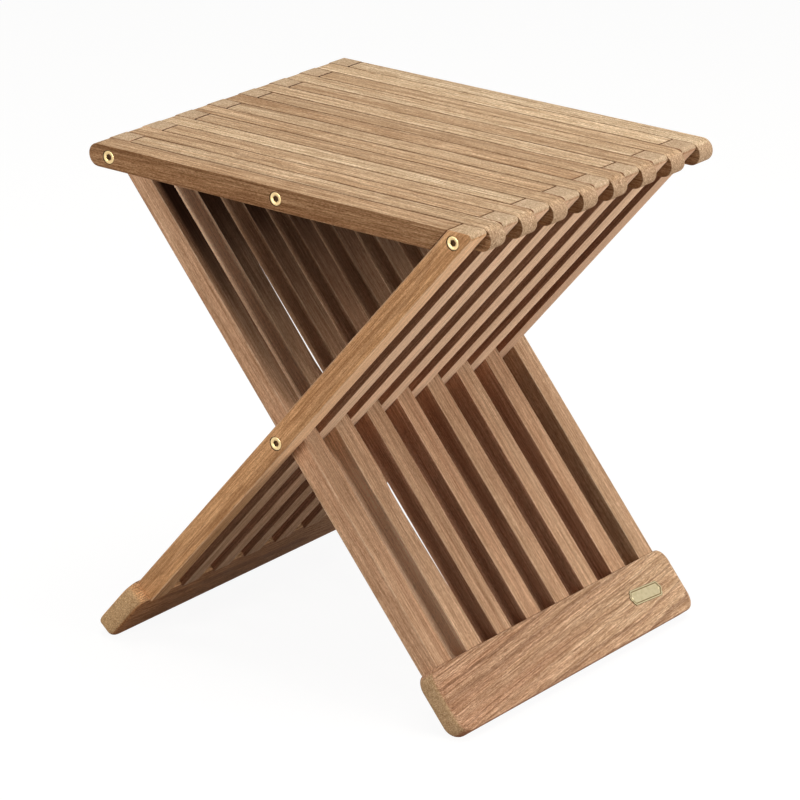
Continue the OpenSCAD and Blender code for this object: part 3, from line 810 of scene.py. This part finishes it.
def footMesh(name, turned):
    # an upright board drawn in its own frame: x along its length, y up the leg, z through its thickness
    radius, steps = feet["cornerRadius"], feet["cornerSteps"]
    half, top = feet["halfLength"], feet["top"]
    bottom = top - feet["height"]
    corners = [((half - radius, bottom + radius), -90), ((half - radius, top - radius), 0),
               ((-half + radius, top - radius), 90), ((-half + radius, bottom + radius), 180)]
    points = [p for centre, start in corners for p in arc(centre, radius, start, start + 90, steps)]

    def edgeRadius(first, second, bottomEdge):
        # blends from the end radius to the top or bottom radius round each corner
        dx, dy = second[0] - first[0], second[1] - first[1]
        endShare = dy * dy / (dx * dx + dy * dy)
        flatEdge = feet["topEdge"] if dx < 0 else bottomEdge
        return flatEdge + (feet["endEdge"] - flatEdge) * endShare

    def build(bm):
        weight = bm.edges.layers.float.new("bevel_weight_edge")
        rings = [[bm.verts.new((x, y, z)) for x, y in points] for z in (feet["outer"], feet["inner"])]
        bm.faces.new(rings[0][::-1])
        bm.faces.new(rings[1])
        for i in range(len(points)):
            j = (i + 1) % len(points)
            bm.faces.new((rings[0][i], rings[0][j], rings[1][j], rings[1][i]))
        for ring, bottomEdge in zip(rings, (feet["outerEdge"], feet["standingEdge"])):
            for i, (a, b) in enumerate(zip(ring, ring[1:] + ring[:1])):
                wanted = edgeRadius(points[i], points[(i + 1) % len(points)], bottomEdge)
                bm.edges.get((a, b))[weight] = wanted / feet["standingEdge"]
        bmesh.ops.recalc_face_normals(bm, faces=bm.faces)
    obj = newObject(name + "Blank", meshOf(name, build))
    bevel = obj.modifiers.new("edges", "BEVEL")
    bevel.width = feet["standingEdge"]
    bevel.segments = 6
    bevel.limit_method = "WEIGHT"
    made = settle(obj, name)
    placed = made.data.attributes.new("boardPlace", "FLOAT_VECTOR", "POINT")
    middle = (top + bottom) / 2
    place = [(v.co.x, v.co.y - middle, v.co.z) for v in made.data.vertices]
    placed.data.foreach_set("vector", [n for p in place for n in p])
    # the board's length lies along Y, its height along the leg and its thickness square to the leg
    upLeg = Vector((run, 0, rise))
    acrossLeg = Vector((rise, 0, -run))
    toStool = Matrix((Vector((0, 1, 0)), upLeg, acrossLeg)).transposed().to_4x4()
    made.data.transform(Matrix.Translation((0, feet["middleY"], crossZ)) @ toStool)
    if turned:
        made.data.transform(Matrix.Rotation(math.pi, 4, "Z"))
    bm = bmesh.new()
    bm.from_mesh(made.data)
    cut = bmesh.ops.bisect_plane(bm, geom=bm.verts[:] + bm.edges[:] + bm.faces[:], plane_co=(0, 0, 0),
                                 plane_no=(0, 0, -1), clear_outer=True)
    rim = [e for e in cut["geom_cut"] if isinstance(e, bmesh.types.BMEdge)]
    bmesh.ops.contextual_create(bm, geom=rim)
    bmesh.ops.recalc_face_normals(bm, faces=bm.faces)
    bm.to_mesh(made.data)
    bm.free()
    return made


for name, body, node, turned, seed in (("leftFoot", "left_legs", "left_foot", False, 71.0),
                                       ("rightFoot", "right_legs", "right_foot", True, 74.0)):
    foot = footMesh(name, turned)
    mesh = foot.data
    side = int(turned)
    for label, (front, back) in (("boardSeed", (seed, seed)), ("boardTone", feet["tones"][side]),
                                 ("boardHue", feet["hues"][side])):
        shares = [0.5 + 0.5 * v.co.y / feet["halfLength"] for v in mesh.vertices]
        mesh.attributes.new(label, "FLOAT", "POINT").data.foreach_set(
            "value", [front + (back - front) * share for share in shares])
    mesh.shade_smooth()
    mesh.set_sharp_from_angle(angle=math.radians(40))
    mesh.materials.append(footTeak)
    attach(foot, body)
    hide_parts(node)
    print("foot", name, len(mesh.polygons), "faces")


# Nuts and rods.

nuts = {
    "head": 0.006,
    "headDepth": 0.002,
    "rim": 0.0008,
    "sleeve": 0.004,
    "dish": 0.00012,
    "dishEdge": 0.0041,
    "chamfer": 0.0004,
    "socket": 0.0025,
    "socketDepth": 0.0035,
    "sink": 0.0002,
    "steps": 48,
}


def nutMesh():
    # the head looks along -Y with its face at y = 0; a lathe shape whose hole turns from round to hexagon
    n = nuts["steps"]
    head, rim = nuts["head"], nuts["rim"]
    # each ring of the lathe shape: radius, depth, hexagon or round, share of grime and painted shade
    profile = [(nuts["sleeve"], 0.010, False, 1.0), (nuts["sleeve"], nuts["headDepth"], False, 1.0),
               (head, nuts["headDepth"], False, 1.0)]
    # grime and painted shade round the head's outer rim
    for angle, grimeAndShade in ((0, 1.0), (18, 0.8), (36, 0.35), (54, 0.1), (72, 0.0), (90, 0.0)):
        a = math.radians(angle)
        profile.append((head - rim + rim * math.cos(a), rim - rim * math.sin(a), False, grimeAndShade))
    profile += [(nuts["dishEdge"], 0.0, False, 0.0), (nuts["dishEdge"] - 0.0004, nuts["dish"], False, 0.12),
                (nuts["socket"] * 1.16 + nuts["chamfer"], nuts["dish"], False, 0.15)]
    # grime and painted shade down the hexagon socket
    profile += [(nuts["socket"], nuts["dish"] + nuts["chamfer"], True, 0.5),
                (nuts["socket"] * 0.99, nuts["dish"] + nuts["chamfer"] + 0.0004, True, 0.9),
                (nuts["socket"], nuts["socketDepth"], True, 0.97),
                (0.0003, nuts["socketDepth"] + 0.0006, False, 1.0)]

    def build(bm):
        rings = []
        grimeAndShadeLayer = bm.verts.layers.float.new("grimeAndShade")
        for radius, depth, hexed, grimeAndShade in profile:
            ring = []
            for i in range(n):
                a = 2 * math.pi * i / n
                reach = radius
                if hexed:
                    fold = (a + math.pi / 6) % (math.pi / 3) - math.pi / 6
                    reach = radius / math.cos(fold)
                ring.append(bm.verts.new((reach * math.cos(a), depth, reach * math.sin(a))))
                ring[-1][grimeAndShadeLayer] = grimeAndShade
            rings.append(ring)
        for low, high in zip(rings, rings[1:]):
            for i in range(n):
                bm.faces.new((low[i], low[i - 1], high[i - 1], high[i]))
        bm.faces.new(rings[0])
        bm.faces.new(rings[-1][::-1])
        bmesh.ops.recalc_face_normals(bm, faces=bm.faces)
    return meshOf("nut", build)


def makeNutTree():
    tree, given, wanted = newGroup("nutSet", "GeometryNodeTree", [
        ("Places", "NodeSocketGeometry", None), ("Nut", "NodeSocketObject", None),
        ("Brass", "NodeSocketMaterial", None),
    ], [("Nuts", "NodeSocketGeometry")])
    nut = addNode(tree, "GeometryNodeObjectInfo", {"Object": given["Nut"]}).outputs["Geometry"]
    turn = addNode(tree, "GeometryNodeInputNamedAttribute", {"Name": "turn"}, data_type="FLOAT_VECTOR")
    spot = addNode(tree, "GeometryNodeInstanceOnPoints",
                   {"Points": given["Places"], "Instance": nut, "Rotation": turn.outputs[0]}).outputs[0]
    spot = addNode(tree, "GeometryNodeRealizeInstances", {"Geometry": spot}).outputs[0]
    spot = addNode(tree, "GeometryNodeSetMaterial", {"Geometry": spot, "Material": given["Brass"]}).outputs[0]
    tree.links.new(spot, wanted["Nuts"])
    return tree


nutTree = makeNutTree()
nutPattern = newObject("nutPattern", nutMesh())
nutSets = [
    ("leftLegNuts", "left_legs", [(rodX, legFront, rodZ, 0, 12), (0.0, legFront, crossZ, 0, 25),
                                  (rodX, -seatFront, rodZ, 1, 40), (0.0, -legFront, crossZ, 1, 8)],
     ["right_seat_nut_front", "cross_nut_front", "right_seat_nut_back", "cross_nut_back"]),
    ("rightLegNuts", "right_legs", [(-rodX, seatFront, rodZ, 0, 5), (-rodX, -legFront, rodZ, 1, 33)],
     ["left_seat_nut_front", "left_seat_nut_back"]),
    ("leftSeatNut", "left_seat", [(0.0, seatFront, rodZ, 0, 48)], ["middle_nut_front"]),
    ("rightSeatNut", "right_seat", [(0.0, -seatFront, rodZ, 1, 20)], ["middle_nut_back"]),
]
for name, body, places, nodes in nutSets:
    mesh = bpy.data.meshes.new(name)
    sink = nuts["sink"]
    mesh.from_pydata([(x, y - sink if back else y + sink, z) for x, y, z, back, spin in places], [], [])
    turn = mesh.attributes.new("turn", "FLOAT_VECTOR", "POINT")
    turn.data.foreach_set("vector", [n for x, y, z, back, spin in places
                                     for n in (0.0, math.radians(spin), math.pi if back else 0.0)])
    obj = newObject(name + "Places", mesh)
    modifier = obj.modifiers.new("nuts", "NODES")
    modifier.node_group = nutTree
    setInputs(modifier, {"Nut": nutPattern, "Brass": nutBrass})
    made = settle(obj, name)
    made.data.shade_smooth()
    made.data.set_sharp_from_angle(angle=math.radians(35))
    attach(made, body)
    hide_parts(*nodes)
    print("nuts", name, len(places))
bpy.data.objects.remove(nutPattern)

for name in ("left_seat_rod", "right_seat_rod", "cross_rod",
             "middle_rod_left_lengths", "middle_rod_right_lengths"):
    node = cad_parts[name]
    node.data.materials.clear()
    node.data.materials.append(rodBrass)


# Bare brass plate on the right foot.

plate = {
    "y": 0.1305,
    "along": -0.2595,
    "length": 0.0412,
    "height": 0.0142,
    "turn": -4.0,            # degrees, a little out of line with the foot
    "lug": 0.0029,
    "lugInset": 0.0008,
    "thickness": 0.0009,
    "notch": 0.0016,
    "rim": 0.0012,
    "recess": 0.0003,
    "pin": 0.0011,
    "pinInset": 0.0002,
}


def plateMesh():
    # x along the foot, y up the leg, z out of the wood; notched corners and a raised rim
    halfX, halfY, notch = plate["length"] / 2, plate["height"] / 2, plate["notch"]

    def ringAt(inset):
        reach = notch + inset
        points = []
        corners = ((halfX, -halfY, 180), (halfX, halfY, 270), (-halfX, halfY, 0), (-halfX, -halfY, 90))
        for cx, cy, start in corners:
            sweep = arc((cx, cy), reach, start, start - 90, 6)
            limitX, limitY = halfX - inset, halfY - inset
            points += [(max(-limitX, min(limitX, x)), max(-limitY, min(limitY, y))) for x, y in sweep]
            if start in (180, 0):
                # a rounded lug in the middle of each short side
                side = 1 if start == 180 else -1
                middle = 90 * (1 - side)
                points += arc((side * (halfX - plate["lugInset"]), 0.0), max(plate["lug"] - inset, 0.0004),
                              middle - 70, middle + 70, 8)
        return points

    rim, top, low = plate["rim"], plate["thickness"], plate["thickness"] - plate["recess"]
    # inset, height and share of grime and painted shade of each outline, from the wood inwards
    levels = [(0.0, 0.0, 1.0), (0.0, top - 0.00015, 1.0), (0.00015, top, 0.7), (0.0004, top, 0.0),
              (rim, top, 0.0), (rim + 0.0001, low, 1.0), (rim + 0.0007, low, 1.0), (rim + 0.0011, low, 0.1)]

    def build(bm):
        grimeAndShadeLayer = bm.verts.layers.float.new("grimeAndShade")
        rings = [[bm.verts.new((x, y, z)) for x, y in ringAt(inset)] for inset, z, grimeAndShade in levels]
        for ring, (inset, z, grimeAndShade) in zip(rings, levels):
            for v in ring:
                v[grimeAndShadeLayer] = grimeAndShade
        for low, high in zip(rings, rings[1:]):
            for i in range(len(low)):
                bm.faces.new((low[i - 1], low[i], high[i], high[i - 1]))
        bm.faces.new(rings[-1])
        bm.faces.new(rings[0][::-1])
        for side in (-1, 1):
            dome = bmesh.ops.create_uvsphere(bm, u_segments=16, v_segments=8, radius=plate["pin"])
            for v in dome["verts"]:
                v.co.z = max(v.co.z, 0.0) * 0.45 + plate["thickness"] - plate["recess"]
                v.co.x += side * (halfX - plate["pinInset"] - plate["rim"])
        bmesh.ops.recalc_face_normals(bm, faces=bm.faces)
        # the domes' faces come in no fixed order, so all are sorted by their three lowest points
        bm.verts.index_update()
        count = len(bm.verts)

        def faceOrder(face):
            first, second, third = sorted(v.index for v in face.verts)[:3]
            return (first * count + second) * count + third

        bm.faces.sort(key=faceOrder)
        bm.faces.index_update()
    return meshOf("brassPlate", build)


plateObject = newObject("brassPlate", plateMesh())
outward = Vector((rise, 0, run))
upRightLeg = Vector((-run, 0, rise))
platePlace = Vector((0, plate["y"], crossZ)) + upRightLeg * plate["along"] - outward * feet["outer"]
turnPlate = Matrix((Vector((0, 1, 0)), upRightLeg, outward)).transposed()
plateObject.data.transform(Matrix.Translation(platePlace) @ turnPlate.to_4x4()
                           @ Matrix.Rotation(math.radians(plate["turn"]), 4, "Z"))
plateObject.data.materials.append(plateBrass)
plateObject.data.shade_smooth()
plateObject.data.set_sharp_from_angle(angle=math.radians(30))
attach(plateObject, "right_legs")
print("plate ready")

bpy.context.scene.view_settings.view_transform = "Standard"
